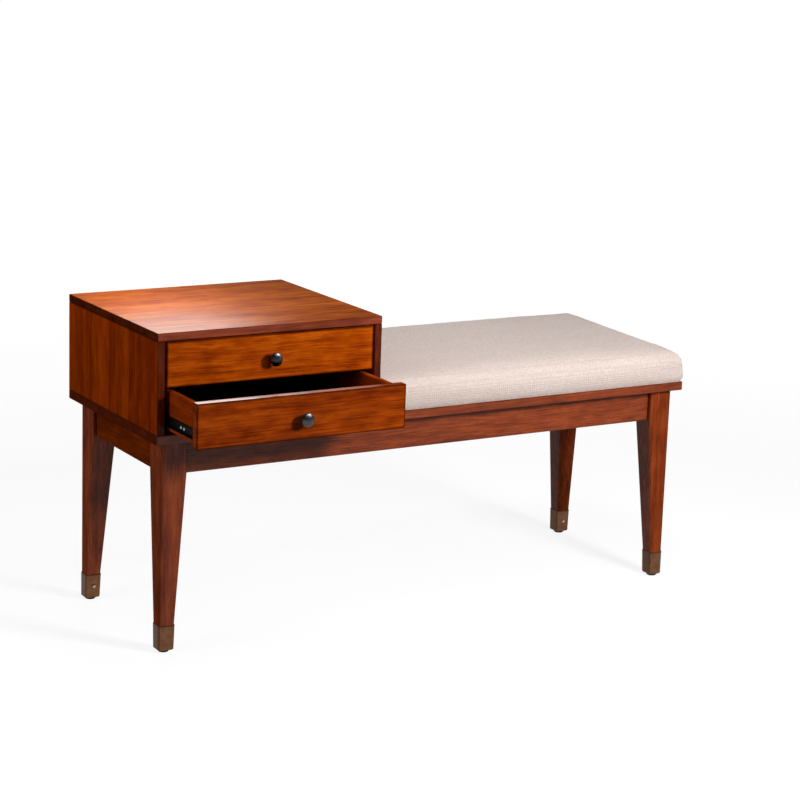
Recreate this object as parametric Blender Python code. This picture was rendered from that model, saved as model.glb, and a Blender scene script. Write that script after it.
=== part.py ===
"""Upholstered bench with a two-drawer case beside the seat.

Metres, +Z up. The front faces -Y, the drawer case stands at the -X end and the padded seat
at the +X end. The origin is on the floor, under the middle of the bench as it is shown,
with the lower drawer pulled out by drawer_open.
"""
import math

import bmesh
import bpy
from mathutils import Vector

# Whole bench
bench_length = 1.17475
bench_depth = 0.4064
bench_height = 0.60325

# Fits: gap between pieces that touch, the softened edge of every board, and how far a
# cutter stands out of the face that it cuts
fit_gap = 0.0003
edge_ease = 0.0012
cutter_overrun = 0.002

# Platform board that carries the case and the seat
platform_thickness = 0.0175

# Legs: square, straight beside the aprons, then tapered on their two inner faces. The corner
# that each leg turns outwards is rounder than its other three
leg_size = 0.052
leg_rim_size = 0.0300
leg_tip_size = 0.0282
leg_corner_radius = 0.005
leg_outer_radius = 0.0095
leg_tip_corner_radius = 0.0042
leg_tip_outer_radius = 0.0078
leg_end_inset = 0.015
leg_front_inset = 0.013
leg_back_inset = 0.0235

# Aprons between the legs, with stub tenons
apron_height = 0.0625
apron_thickness = 0.018
apron_setback = 0.011
tenon_length = 0.014
tenon_thickness = 0.008
tenon_shoulder = 0.009

# Corner blocks that brace the aprons behind each leg
block_thickness = 0.022
block_height = 0.046
block_leg_clearance = 0.0015

# Ferrules and glides on the feet
ferrule_height = 0.0475
ferrule_wall = 0.0011
ferrule_chamfer = 0.0015
glide_height = 0.005
glide_radius = 0.0105
glide_edge = 0.0015
glide_stem_radius = 0.004
glide_stem_length = 0.018

# Drawer case
case_width = 0.4586
case_board = 0.015
case_back_thickness = 0.0075
case_back_recess = 0.0015

# Drawers
drawer_open = 0.125
drawer_front_height = 0.08275
drawer_reveal = 0.00225
drawer_side_reveal = 0.00325
drawer_front_thickness = 0.0185
drawer_board = 0.012
drawer_side_lift = 0.0055
drawer_side_drop = 0.005
drawer_bottom_thickness = 0.005
drawer_groove_depth = 0.005
drawer_groove_lift = 0.007
drawer_box_overrun = 0.002

# Two-member ball slides: case rail, drawer rail, and the cage that holds the balls
slide_width = 0.010
slide_wall = 0.0011
slide_bend = 0.0008
slide_lift = 0.0243
case_rail_height = 0.027
rail_lip = 0.0008
rail_back_room = 0.0265
rail_overlap = 0.095
rail_setback = 0.002
ball_radius = 0.0014
balls_in_row = 6
cage_sheet = 0.0007
cage_clearance = 0.0006
cage_end_room = 0.0055

# Knobs
knob_reach = 0.024
knob_head_radius = 0.0130
knob_head_depth = 0.0115
knob_rim_depth = 0.0025
knob_rim_undercut = 0.0013
knob_throat_radius = 0.0081
knob_neck_radius = 0.0055
knob_foot_radius = 0.0075
knob_foot_depth = 0.0025
knob_drop = 0.0033

# Seat: board, foam and fabric cover
seat_front_height = 0.0645
seat_back_height = 0.074
seat_crown = 0.006
seat_edge_radius = 0.023
seat_corner_radius = 0.016
seat_lean = 0.0045
seat_tuck = 0.0025
seat_bulge_height = 0.014
seat_bulge_draw_in = 0.0008
seat_draw_in = 0.0025
seat_crown_flat = 0.014
seat_case_gap = 0.0008
cover_thickness = 0.0016
foam_clearance = 0.0008
seat_board_thickness = 0.012

# Roundness of curved pieces
ease_steps = 2
corner_steps = 4
turned_steps = 20
ball_steps = 8
ball_rings = 6
knob_arc_steps = 6
seat_edge_steps = 5
seat_crown_steps = 4
seat_long_points = 5
seat_short_points = 3
crease_angle = math.radians(35)
seat_crease_angle = math.radians(60)

# Most of a straight run that a bend may take, and of a half width that a corner may take
bend_limit = 1 / 3
corner_limit = 0.9

# Places worked out from the sizes above
left_x = -bench_length / 2
right_x = bench_length / 2
front_y = (drawer_open + knob_reach - bench_depth) / 2
back_y = front_y + bench_depth
case_inner_top = bench_height - case_board
platform_top = case_inner_top - 2 * drawer_front_height - 3 * drawer_reveal
platform_bottom = platform_top - platform_thickness
base_top = platform_bottom - fit_gap
apron_bottom = base_top - apron_height
case_right_x = left_x + case_width
case_bottom = platform_top + fit_gap
case_inner_left = left_x + case_board
case_inner_right = case_right_x - case_board
case_middle_x = (case_inner_left + case_inner_right) / 2
case_half_width = (case_inner_right - case_inner_left) / 2
case_back_y = back_y - case_back_recess - case_back_thickness

drawer_front_half = case_half_width - drawer_side_reveal
drawer_box_half = case_half_width - slide_width
drawer_box_front = drawer_front_thickness + fit_gap
rail_front = drawer_front_thickness + rail_setback
rail_length = case_back_y - rail_back_room - front_y - rail_front
drawer_box_back = rail_front + rail_length + drawer_box_overrun
drawer_travel = rail_length - rail_overlap
drawer_rail_height = case_rail_height - 2 * (slide_wall + 2 * ball_radius + 2 * fit_gap)
lower_drawer_z = platform_top + drawer_reveal
upper_drawer_z = lower_drawer_z + drawer_front_height + drawer_reveal

ferrule_rim_z = glide_height + ferrule_height
leg_tip_z = glide_height + ferrule_wall + fit_gap
glide_stem_top = leg_tip_z + glide_stem_length


def clear_scene():
    for item in list(bpy.data.objects):
        bpy.data.objects.remove(item, do_unlink=True)


def make_material(name, colour, roughness, metallic=0.0):
    material = bpy.data.materials.new(name)
    material.use_nodes = True
    shader = material.node_tree.nodes["Principled BSDF"]
    shader.inputs["Base Color"].default_value = (*colour, 1.0)
    shader.inputs["Roughness"].default_value = roughness
    shader.inputs["Metallic"].default_value = metallic
    return material


def add_piece(name, shape, material, parent=None):
    """Turn a bmesh into a named object with its faces pointing out."""
    bmesh.ops.recalc_face_normals(shape, faces=shape.faces)
    mesh = bpy.data.meshes.new(name)
    shape.to_mesh(mesh)
    shape.free()
    mesh.materials.append(material)
    piece = bpy.data.objects.new(name, mesh)
    piece.parent = parent
    bpy.context.scene.collection.objects.link(piece)
    return piece


def smooth(piece, angle=crease_angle):
    piece.data.shade_smooth()
    piece.data.set_sharp_from_angle(angle=angle)


def add_empty(name, place):
    empty = bpy.data.objects.new(name, None)
    empty.location = place
    bpy.context.scene.collection.objects.link(empty)
    return empty


def box_shape(low, high, ease=0.0):
    """A board between two corners, with softened edges where ease is given."""
    shape = bmesh.new()
    bmesh.ops.create_cube(shape, size=1.0)
    low = Vector(low)
    high = Vector(high)
    size = high - low
    middle = (high + low) / 2
    for vert in shape.verts:
        vert.co = Vector([vert.co[i] * size[i] + middle[i] for i in range(3)])
    if ease:
        bmesh.ops.bevel(shape, geom=list(shape.edges), offset=ease, segments=ease_steps, profile=0.5,
                        affect="EDGES", clamp_overlap=True)
    return shape


def loft_shape(rings, closed=False):
    """Skin a list of rings that have the same number of points."""
    shape = bmesh.new()
    loops = []
    for ring in rings:
        loops.append([shape.verts.new(point) for point in ring])
    pairs = list(zip(loops, loops[1:]))
    if closed:
        pairs.append((loops[-1], loops[0]))
    count = len(loops[0])
    for lower, upper in pairs:
        for i in range(count):
            j = (i + 1) % count
            shape.faces.new((lower[i], lower[j], upper[j], upper[i]))
    if not closed:
        shape.faces.new(list(reversed(loops[0])))
        shape.faces.new(loops[-1])
    return shape


def prism_shape(outline, place, start, end):
    """Extrude a flat outline; place(u, v, w) says where a point of it lies."""
    near = [place(u, v, start) for u, v in outline]
    far = [place(u, v, end) for u, v in outline]
    return loft_shape([near, far])


def turned_shape(profile, place, steps=turned_steps):
    """Revolve (radius, height) points that start and end on the axis."""
    shape = bmesh.new()
    loops = []
    for radius, height in profile:
        if radius == 0:
            loops.append([shape.verts.new(place(0, 0, height))])
            continue
        loop = []
        for i in range(steps):
            angle = 2 * math.pi * i / steps
            loop.append(shape.verts.new(place(radius * math.cos(angle), radius * math.sin(angle), height)))
        loops.append(loop)
    for lower, upper in zip(loops, loops[1:]):
        for i in range(steps):
            j = (i + 1) % steps
            corners = [lower[i % len(lower)], lower[j % len(lower)]]
            corners += [upper[j % len(upper)], upper[i % len(upper)]]
            shape.faces.new(list(dict.fromkeys(corners)))
    return shape


def cut(piece, shape, label):
    """Cut a hidden shape out of a piece."""
    cutter = add_piece(label, shape, piece.data.materials[0], piece.parent)
    cutter.hide_render = True
    cutter.display_type = "WIRE"
    boolean = piece.modifiers.new(label, "BOOLEAN")
    boolean.operation = "DIFFERENCE"
    boolean.object = cutter


def square_ring(middle, z, size, radii):
    """A square seen from above, with a radius for each corner, the +X +Y one first."""
    ring = []
    for corner, radius in enumerate(radii):
        start = corner * math.pi / 2
        reach = size / 2 - radius
        hub_x = reach * (1 if corner in (0, 3) else -1)
        hub_y = reach * (1 if corner in (0, 1) else -1)
        for step in range(corner_steps + 1):
            angle = start + step / corner_steps * math.pi / 2
            x = middle[0] + hub_x + radius * math.cos(angle)
            y = middle[1] + hub_y + radius * math.sin(angle)
            ring.append((x, y, z))
    return ring


def round_ring(middle, z, radius):
    """A circle with as many points as square_ring, in the same order."""
    count = 4 * (corner_steps + 1)
    ring = []
    for i in range(count):
        angle = 2 * math.pi * (i + 0.5) / count
        ring.append((middle[0] + radius * math.cos(angle), middle[1] + radius * math.sin(angle), z))
    return ring


def soften_outline(outline, radius):
    """Cut each corner of a flat outline back, so that a bend shows as a bend."""
    soft = []
    count = len(outline)
    for i in range(count):
        here = Vector(outline[i])
        before = Vector(outline[i - 1]) - here
        after = Vector(outline[(i + 1) % count]) - here
        trim = min(radius, bend_limit * before.length, bend_limit * after.length)
        soft.append(tuple(here + before.normalized() * trim))
        soft.append(tuple(here + after.normalized() * trim))
    return soft


# Finishes
veneer = make_material("veneer", (0.300, 0.060, 0.012), 0.32)
drawer_veneer = make_material("drawer_veneer", (0.320, 0.050, 0.004), 0.32)
solid_wood = make_material("solid_wood", (0.200, 0.040, 0.014), 0.36)
drawer_wood = make_material("drawer_wood", (0.120, 0.018, 0.004), 0.45)
plain_wood = make_material("plain_wood", (0.330, 0.190, 0.090), 0.60)
plywood = make_material("plywood", (0.420, 0.270, 0.150), 0.65)
bronze = make_material("bronze", (0.150, 0.078, 0.042), 0.38, 0.9)
pewter = make_material("pewter", (0.075, 0.068, 0.068), 0.28, 1.0)
black_steel = make_material("black_steel", (0.012, 0.012, 0.013), 0.42, 0.6)
bright_steel = make_material("bright_steel", (0.520, 0.520, 0.510), 0.30, 1.0)
black_nylon = make_material("black_nylon", (0.012, 0.012, 0.012), 0.55)
linen = make_material("linen", (0.680, 0.580, 0.530), 0.90)
foam = make_material("foam", (0.780, 0.720, 0.520), 0.90)


# Base
def leg_middle(side_x, side_y, size):
    """Centre of a leg's section: its two outer faces stay upright at every height."""
    outer_x = left_x + leg_end_inset if side_x < 0 else right_x - leg_end_inset
    outer_y = front_y + leg_front_inset if side_y < 0 else back_y - leg_back_inset
    return outer_x - side_x * size / 2, outer_y - side_y * size / 2


def leg_radii(side_x, side_y, plain, outer, grow=0.0):
    """Radius of each corner of a leg's section, or of a ferrule that is larger by grow."""
    corners = [(1, 1), (-1, 1), (-1, -1), (1, -1)]
    return [(outer if corner == (side_x, side_y) else plain) + grow for corner in corners]


def apron_line(side_x, side_y):
    """Middle planes of the end apron and of the long apron that meet in a leg."""
    depth = apron_setback + apron_thickness / 2
    outer_x = left_x + leg_end_inset if side_x < 0 else right_x - leg_end_inset
    outer_y = front_y + leg_front_inset if side_y < 0 else back_y - leg_back_inset
    return outer_x - side_x * depth, outer_y - side_y * depth


def build_platform():
    low = (left_x, front_y, platform_bottom)
    high = (right_x, back_y, platform_top)
    add_piece("platform", box_shape(low, high, edge_ease), solid_wood)


def build_leg(name, side_x, side_y):
    tip = leg_middle(side_x, side_y, leg_tip_size)
    rim = leg_middle(side_x, side_y, leg_rim_size)
    head = leg_middle(side_x, side_y, leg_size)
    bore = glide_stem_radius + fit_gap
    head_radii = leg_radii(side_x, side_y, leg_corner_radius, leg_outer_radius)
    tip_radii = leg_radii(side_x, side_y, leg_tip_corner_radius, leg_tip_outer_radius)
    rings = [
        round_ring(tip, glide_stem_top + fit_gap, bore),
        round_ring(tip, leg_tip_z, bore),
        square_ring(tip, leg_tip_z, leg_tip_size, tip_radii),
        square_ring(rim, ferrule_rim_z, leg_rim_size, tip_radii),
        square_ring(head, apron_bottom, leg_size, head_radii),
        square_ring(head, base_top, leg_size, head_radii),
    ]
    leg = add_piece(f"leg_{name}", loft_shape(rings), solid_wood)
    smooth(leg)
    end_line, long_line = apron_line(side_x, side_y)
    inner_x = head[0] - side_x * leg_size / 2
    inner_y = head[1] - side_y * leg_size / 2
    wide = tenon_thickness / 2 + fit_gap
    deep = tenon_length + fit_gap
    low_z = apron_bottom + tenon_shoulder - fit_gap
    high_z = base_top - tenon_shoulder + fit_gap
    across = sorted((inner_x + side_x * deep, inner_x - side_x * cutter_overrun))
    along = sorted((inner_y + side_y * deep, inner_y - side_y * cutter_overrun))
    long_mortise = box_shape((across[0], long_line - wide, low_z), (across[1], long_line + wide, high_z))
    end_mortise = box_shape((end_line - wide, along[0], low_z), (end_line + wide, along[1], high_z))
    cut(leg, long_mortise, f"leg_{name}_long_mortise")
    cut(leg, end_mortise, f"leg_{name}_end_mortise")


def build_ferrule(name, side_x, side_y):
    tip = leg_middle(side_x, side_y, leg_tip_size)
    rim = leg_middle(side_x, side_y, leg_rim_size)
    hole = glide_stem_radius + fit_gap
    shell = fit_gap + ferrule_wall
    floor_z = glide_height + ferrule_wall
    sole = leg_tip_size + 2 * shell - 2 * ferrule_chamfer

    def radii(grow):
        return leg_radii(side_x, side_y, leg_tip_corner_radius, leg_tip_outer_radius, grow)

    rings = [
        round_ring(tip, glide_height, hole),
        square_ring(tip, glide_height, sole, radii(shell - ferrule_chamfer)),
        square_ring(tip, glide_height + ferrule_chamfer, leg_tip_size + 2 * shell, radii(shell)),
        square_ring(rim, ferrule_rim_z, leg_rim_size + 2 * shell, radii(shell)),
        square_ring(rim, ferrule_rim_z, leg_rim_size + 2 * fit_gap, radii(fit_gap)),
        square_ring(tip, floor_z, leg_tip_size + 2 * fit_gap, radii(fit_gap)),
        round_ring(tip, floor_z, hole),
    ]
    smooth(add_piece(f"ferrule_{name}", loft_shape(rings, closed=True), bronze))


def build_glide(name, side_x, side_y):
    middle = leg_middle(side_x, side_y, leg_tip_size)
    shoulder = glide_height - fit_gap
    profile = [
        (0, 0),
        (glide_radius - glide_edge, 0),
        (glide_radius, glide_edge),
        (glide_radius, shoulder),
        (glide_stem_radius, shoulder),
        (glide_stem_radius, glide_stem_top),
        (0, glide_stem_top),
    ]
    shape = turned_shape(profile, lambda u, v, w: (middle[0] + u, middle[1] + v, w))
    smooth(add_piece(f"glide_{name}", shape, black_nylon))


def build_corner_block(name, side_x, side_y):
    """A block across the corner, its ends flat on the two aprons' inner faces."""
    end_line, long_line = apron_line(side_x, side_y)
    face = apron_thickness / 2 + fit_gap
    corner_x = end_line - side_x * face
    corner_y = long_line - side_y * face
    leg_reach = 2 * (leg_size - apron_setback - apron_thickness - fit_gap)
    near = leg_reach + block_leg_clearance * math.sqrt(2)
    far = near + block_thickness * math.sqrt(2)
    outline = [(near, 0), (far, 0), (0, far), (0, near)]

    def place(u, v, w):
        return corner_x - side_x * u, corner_y - side_y * v, w

    shape = prism_shape(outline, place, base_top - block_height, base_top)
    add_piece(f"corner_block_{name}", shape, plain_wood)


def build_apron(name, start, end, line, along_x):
    """A board between two shoulders, stepped down to a tenon at each end."""
    middle_z = (apron_bottom + base_top) / 2
    half = apron_thickness / 2
    rise = apron_height / 2
    tongue = tenon_thickness / 2
    tongue_rise = rise - tenon_shoulder
    ease = edge_ease

    def section(place, half_wide, half_high):
        corner = [
            (half_wide - ease, -half_high), (half_wide, ease - half_high),
            (half_wide, half_high - ease), (half_wide - ease, half_high),
            (ease - half_wide, half_high), (-half_wide, half_high - ease),
            (-half_wide, ease - half_high), (ease - half_wide, -half_high),
        ]
        if along_x:
            return [(place, line + u, middle_z + v) for u, v in corner]
        return [(line - u, place, middle_z + v) for u, v in corner]

    rings = [
        section(start - tenon_length, tongue, tongue_rise),
        section(start, tongue, tongue_rise),
        section(start, half, rise),
        section(end, half, rise),
        section(end, tongue, tongue_rise),
        section(end + tenon_length, tongue, tongue_rise),
    ]
    add_piece(f"apron_{name}", loft_shape(rings), solid_wood)


def build_base():
    build_platform()
    feet = {
        "front_left": (-1, -1),
        "front_right": (1, -1),
        "back_left": (-1, 1),
        "back_right": (1, 1),
    }
    for name, (side_x, side_y) in feet.items():
        build_leg(name, side_x, side_y)
        build_ferrule(name, side_x, side_y)
        build_glide(name, side_x, side_y)
        build_corner_block(name, side_x, side_y)
    leg_reach = leg_size / 2 + fit_gap
    first = leg_middle(-1, -1, leg_size)
    last = leg_middle(1, 1, leg_size)
    left_line, front_line = apron_line(-1, -1)
    right_line, back_line = apron_line(1, 1)
    build_apron("front", first[0] + leg_reach, last[0] - leg_reach, front_line, True)
    build_apron("back", first[0] + leg_reach, last[0] - leg_reach, back_line, True)
    build_apron("left", first[1] + leg_reach, last[1] - leg_reach, left_line, False)
    build_apron("right", first[1] + leg_reach, last[1] - leg_reach, right_line, False)


# Drawer case
def build_case():
    side_top = case_inner_top - fit_gap
    top_low = (left_x, front_y, case_inner_top)
    top_high = (case_right_x, back_y, bench_height)
    add_piece("case_top", box_shape(top_low, top_high, edge_ease), veneer)
    for name, start in (("left", left_x), ("right", case_inner_right)):
        low = (start, front_y, case_bottom)
        high = (start + case_board, back_y, side_top)
        add_piece(f"case_side_{name}", box_shape(low, high, edge_ease), veneer)
    back_low = (case_inner_left + fit_gap, case_back_y, case_bottom)
    back_high = (case_inner_right - fit_gap, case_back_y + case_back_thickness, side_top)
    add_piece("case_back", box_shape(back_low, back_high), drawer_wood)


def slide_outlines():
    """Sections of case rail, drawer rail and ball cage: across from the case side, and up."""
    wall = slide_wall
    web = fit_gap
    case_half = case_rail_height / 2
    case_in = case_half - wall
    case_tip = slide_width - fit_gap - wall
    case_rail = [
        (web, -case_half), (case_tip, -case_half), (case_tip, -case_in + rail_lip),
        (case_tip - rail_lip, -case_in + rail_lip), (case_tip - rail_lip, -case_in),
        (web + wall, -case_in), (web + wall, case_in), (case_tip - rail_lip, case_in),
        (case_tip - rail_lip, case_in - rail_lip), (case_tip, case_in - rail_lip),
        (case_tip, case_half), (web, case_half),
    ]
    half = drawer_rail_height / 2
    inner = half - wall
    far = slide_width - fit_gap
    cage_near = web + wall + cage_clearance
    cage_far = cage_near + cage_sheet
    tip = cage_far + cage_clearance
    drawer_rail = [
        (far, -half), (far, half), (tip + rail_lip, half), (tip + rail_lip, half + rail_lip),
        (tip, half + rail_lip), (tip, inner), (far - wall, inner), (far - wall, -inner),
        (tip, -inner), (tip, -half - rail_lip), (tip + rail_lip, -half - rail_lip),
        (tip + rail_lip, -half),
    ]
    track = (case_in + half) / 2
    flap = cage_sheet / 2
    ball_across = (tip + case_tip) / 2
    flap_tip = ball_across + ball_radius
    cage = [
        (cage_near, -track - flap), (flap_tip, -track - flap), (flap_tip, -track + flap),
        (cage_far, -track + flap), (cage_far, track - flap), (flap_tip, track - flap),
        (flap_tip, track + flap), (cage_near, track + flap),
    ]
    return case_rail, drawer_rail, cage, (ball_across, track)


def slide_place(side, height):
    """Lay a slide section on one side of the case, opening towards the drawers."""
    def place(across, up, along):
        return side * (case_half_width - across), along, height + up
    return place


def build_case_rail(name, side, drawer_z):
    outline = soften_outline(slide_outlines()[0], slide_bend)
    shape = prism_shape(outline, slide_place(side, 0), 0, rail_length)
    rail = add_piece(f"case_rail_{name}", shape, black_steel)
    rail.location = (case_middle_x, front_y + rail_front, drawer_z + slide_lift)


def build_ball_cage(name, side, carrier):
    """A folded strip with its balls held in it, one row above and one below."""
    cage_outline, (ball_across, track) = slide_outlines()[2:]
    length = rail_overlap - 2 * cage_end_room
    place = slide_place(side, 0)
    strip = prism_shape(cage_outline, place, 0, length)
    cage = add_piece(f"ball_cage_{name}", strip, bright_steel, carrier)
    balls = bmesh.new()
    pitch = length / balls_in_row
    for row in (-track, track):
        for i in range(balls_in_row):
            seat = Vector(place(ball_across, row, pitch * (i + 0.5)))
            made = bmesh.ops.create_uvsphere(balls, u_segments=ball_steps, v_segments=ball_rings,
                                             radius=ball_radius)
            bmesh.ops.translate(balls, verts=made["verts"], vec=seat)
    operand = add_piece(f"ball_cage_{name}_balls", balls, bright_steel, carrier)
    operand.hide_render = True
    operand.display_type = "WIRE"
    union = cage.modifiers.new("balls", "BOOLEAN")
    union.operation = "UNION"
    union.object = operand


# Drawers, each in the frame of its carrier: x from the case's middle, y from the closed
# front face, z from the lower edge of the drawer front
def groove_floor():
    return drawer_side_lift + drawer_groove_lift


def groove_ceiling():
    return groove_floor() + drawer_bottom_thickness + 2 * fit_gap


def build_drawer_front(name, carrier):
    low = (-drawer_front_half, 0, 0)
    high = (drawer_front_half, drawer_front_thickness, drawer_front_height)
    front = add_piece(f"{name}_drawer_front", box_shape(low, high, edge_ease), drawer_veneer, carrier)
    half = drawer_box_half - drawer_board + drawer_groove_depth
    groove_low = (-half, drawer_front_thickness - drawer_groove_depth, groove_floor())
    groove_high = (half, drawer_front_thickness + cutter_overrun, groove_ceiling())
    cut(front, box_shape(groove_low, groove_high), f"{name}_drawer_front_groove")


def build_drawer_side(name, label, side, carrier):
    """A board with a groove along its inner face for the bottom panel."""
    top = drawer_front_height - drawer_side_drop
    deep = drawer_board - drawer_groove_depth
    outline = [
        (0, drawer_side_lift), (drawer_board, drawer_side_lift), (drawer_board, groove_floor()),
        (deep, groove_floor()), (deep, groove_ceiling()), (drawer_board, groove_ceiling()),
        (drawer_board, top - edge_ease), (drawer_board - edge_ease, top), (edge_ease, top),
        (0, top - edge_ease),
    ]

    def place(u, v, w):
        return side * (drawer_box_half - u), w, v

    shape = prism_shape(outline, place, drawer_box_front, drawer_box_back)
    add_piece(f"{name}_drawer_side_{label}", shape, drawer_wood, carrier)


def build_drawer_back(name, carrier):
    half = drawer_box_half - drawer_board - fit_gap
    low = (-half, drawer_box_back - drawer_board, groove_ceiling())
    high = (half, drawer_box_back, drawer_front_height - drawer_side_drop)
    add_piece(f"{name}_drawer_back", box_shape(low, high, edge_ease), drawer_wood, carrier)


def build_drawer_bottom(name, carrier):
    half = drawer_box_half - drawer_board + drawer_groove_depth - fit_gap
    start = drawer_front_thickness - drawer_groove_depth + fit_gap
    floor = groove_floor() + fit_gap
    low = (-half, start, floor)
    high = (half, drawer_box_back, floor + drawer_bottom_thickness)
    add_piece(f"{name}_drawer_bottom", box_shape(low, high), drawer_wood, carrier)


def build_knob(name, carrier):
    """A turned knob: a flared foot, a waisted neck and a domed head, a little below the middle."""
    head_start = knob_reach - knob_head_depth
    dome = knob_head_depth - knob_rim_depth
    profile = [(0, fit_gap), (knob_foot_radius, fit_gap), (knob_foot_radius, knob_foot_depth)]
    for step in range(1, knob_arc_steps):
        share = step / knob_arc_steps
        height = knob_foot_depth + share * (head_start - knob_foot_depth)
        flare = (2 * share - 1) ** 2
        wide = knob_foot_radius if share < 0.5 else knob_throat_radius
        profile.append((knob_neck_radius + (wide - knob_neck_radius) * flare, height))
    profile.append((knob_head_radius - knob_rim_undercut, head_start))
    profile.append((knob_head_radius, head_start + knob_rim_depth))
    for step in range(1, knob_arc_steps):
        angle = step / knob_arc_steps * math.pi / 2
        height = head_start + knob_rim_depth + dome * math.sin(angle)
        profile.append((knob_head_radius * math.cos(angle), height))
    profile.append((0, knob_reach))

    def place(u, v, w):
        return u, -w, drawer_front_height / 2 - knob_drop + v

    smooth(add_piece(f"{name}_drawer_knob", turned_shape(profile, place), pewter, carrier))


def build_drawer_rail(name, label, side, carrier):
    outline = soften_outline(slide_outlines()[1], slide_bend)
    shape = prism_shape(outline, slide_place(side, slide_lift), rail_front, rail_front + rail_length)
    add_piece(f"{name}_drawer_rail_{label}", shape, black_steel, carrier)


def build_drawer(name, bottom_z, opening):
    carrier = add_empty(f"{name}_drawer", (case_middle_x, front_y - opening, bottom_z))
    build_drawer_front(name, carrier)
    build_drawer_back(name, carrier)
    build_drawer_bottom(name, carrier)
    build_knob(name, carrier)
    cage_y = front_y + rail_front + drawer_travel / 2 + cage_end_room - opening / 2
    cage_carrier = add_empty(f"{name}_cages", (case_middle_x, cage_y, bottom_z + slide_lift))
    for label, side in (("left", -1), ("right", 1)):
        build_drawer_side(name, label, side, carrier)
        build_drawer_rail(name, label, side, carrier)
        build_case_rail(f"{name}_{label}", side, bottom_z)
        build_ball_cage(f"{name}_{label}", side, cage_carrier)


# Seat
seat_left = case_right_x + seat_case_gap
seat_half_x = (right_x - seat_left) / 2
seat_half_y = bench_depth / 2
seat_middle_x = (right_x + seat_left) / 2
seat_middle_y = (front_y + back_y) / 2
seat_bottom = platform_top + fit_gap
seat_rise = (seat_back_height - seat_front_height) / bench_depth


def seat_profile(offset, start):
    """(inset, height, bow) from the lower edge to the middle of a skin set in by offset."""
    shoulder = seat_front_height - seat_edge_radius
    hub = seat_lean + seat_edge_radius
    round_off = seat_edge_radius - offset
    profile = []
    if start < seat_bulge_height:
        tuck = seat_tuck * (1 - start / seat_bulge_height)
        profile.append((tuck + offset, start, 0.0))
    profile.append((offset, max(seat_bulge_height, start + fit_gap), seat_bulge_draw_in))
    for step in range(seat_edge_steps + 1):
        angle = step / seat_edge_steps * math.pi / 2
        inset = hub - round_off * math.cos(angle)
        profile.append((inset, shoulder + round_off * math.sin(angle), seat_draw_in))
    crown_run = seat_half_y - hub
    for step in range(1, seat_crown_steps + 1):
        run = step / seat_crown_steps * (crown_run - seat_crown_flat)
        slack = 1 - run / crown_run
        height = seat_front_height - offset + seat_crown * (1 - slack ** 2)
        profile.append((hub + run, height, seat_draw_in * slack))
    return profile


def seat_outline(inset, bow):
    """One level of the seat from above: round corners, and sides drawn in between them."""
    half_x = seat_half_x - inset
    half_y = seat_half_y - inset
    radius = min(seat_corner_radius, corner_limit * half_y)
    points = []
    for corner in range(4):
        sign_x = 1 if corner in (0, 3) else -1
        sign_y = 1 if corner in (0, 1) else -1
        start = corner * math.pi / 2
        for step in range(corner_steps + 1):
            angle = start + step / corner_steps * math.pi / 2
            x = sign_x * (half_x - radius) + radius * math.cos(angle)
            y = sign_y * (half_y - radius) + radius * math.sin(angle)
            points.append((x, y))
        long_side = corner in (0, 2)
        count = seat_long_points if long_side else seat_short_points
        for i in range(1, count + 1):
            share = i / (count + 1)
            pull = bow * (1 - (2 * share - 1) ** 2)
            if long_side:
                points.append((sign_x * (half_x - radius) * (1 - 2 * share), sign_y * (half_y - pull)))
            else:
                points.append((sign_x * (half_x - pull), sign_y * (half_y - radius) * (1 - 2 * share)))
    return points


def seat_ring(inset, height, bow):
    """The outline at one height, lifted towards the back."""
    ring = []
    for x, y in seat_outline(inset, bow):
        lift = seat_rise * (y + seat_half_y) * height / seat_front_height
        ring.append((seat_middle_x + x, seat_middle_y + y, seat_bottom + height + lift))
    return ring


def build_seat():
    inner = cover_thickness
    foam_offset = cover_thickness + foam_clearance
    outside = [seat_ring(*level) for level in seat_profile(0.0, 0.0)]
    inside = [seat_ring(*level) for level in seat_profile(inner, 0.0)]
    cover = add_piece("seat_cover", loft_shape(list(reversed(inside)) + outside), linen)
    smooth(cover, seat_crease_angle)

    def place(u, v, w):
        return seat_middle_x + u, seat_middle_y + v, w

    board_outline = seat_outline(seat_tuck + foam_offset, 0.0)
    board_top = seat_bottom + seat_board_thickness
    add_piece("seat_board", prism_shape(board_outline, place, seat_bottom, board_top), plywood)
    foam_start = seat_board_thickness + fit_gap
    rings = [seat_ring(*level) for level in seat_profile(foam_offset, foam_start)]
    smooth(add_piece("seat_foam", loft_shape(rings), foam), seat_crease_angle)


def main():
    clear_scene()
    build_base()
    build_case()
    build_drawer("upper", upper_drawer_z, 0.0)
    build_drawer("lower", lower_drawer_z, drawer_open)
    build_seat()
    print(f"drawer travel {drawer_travel:.4f} m, rail length {rail_length:.4f} m")


main()
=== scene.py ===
# %% [markdown]
# # A bench with a padded seat beside a drawer case
#
# The bench is already built as solids: boards, legs, drawers on ball slides and a plain seat.
# This lesson dresses it. We load those solids as a fixed frame, give each one a finish made of
# shader nodes, and model only what the solids leave plain: the turned knobs, the soft leg
# corners, the screws and the padded seat.

# %% Load the bench
import math

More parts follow.
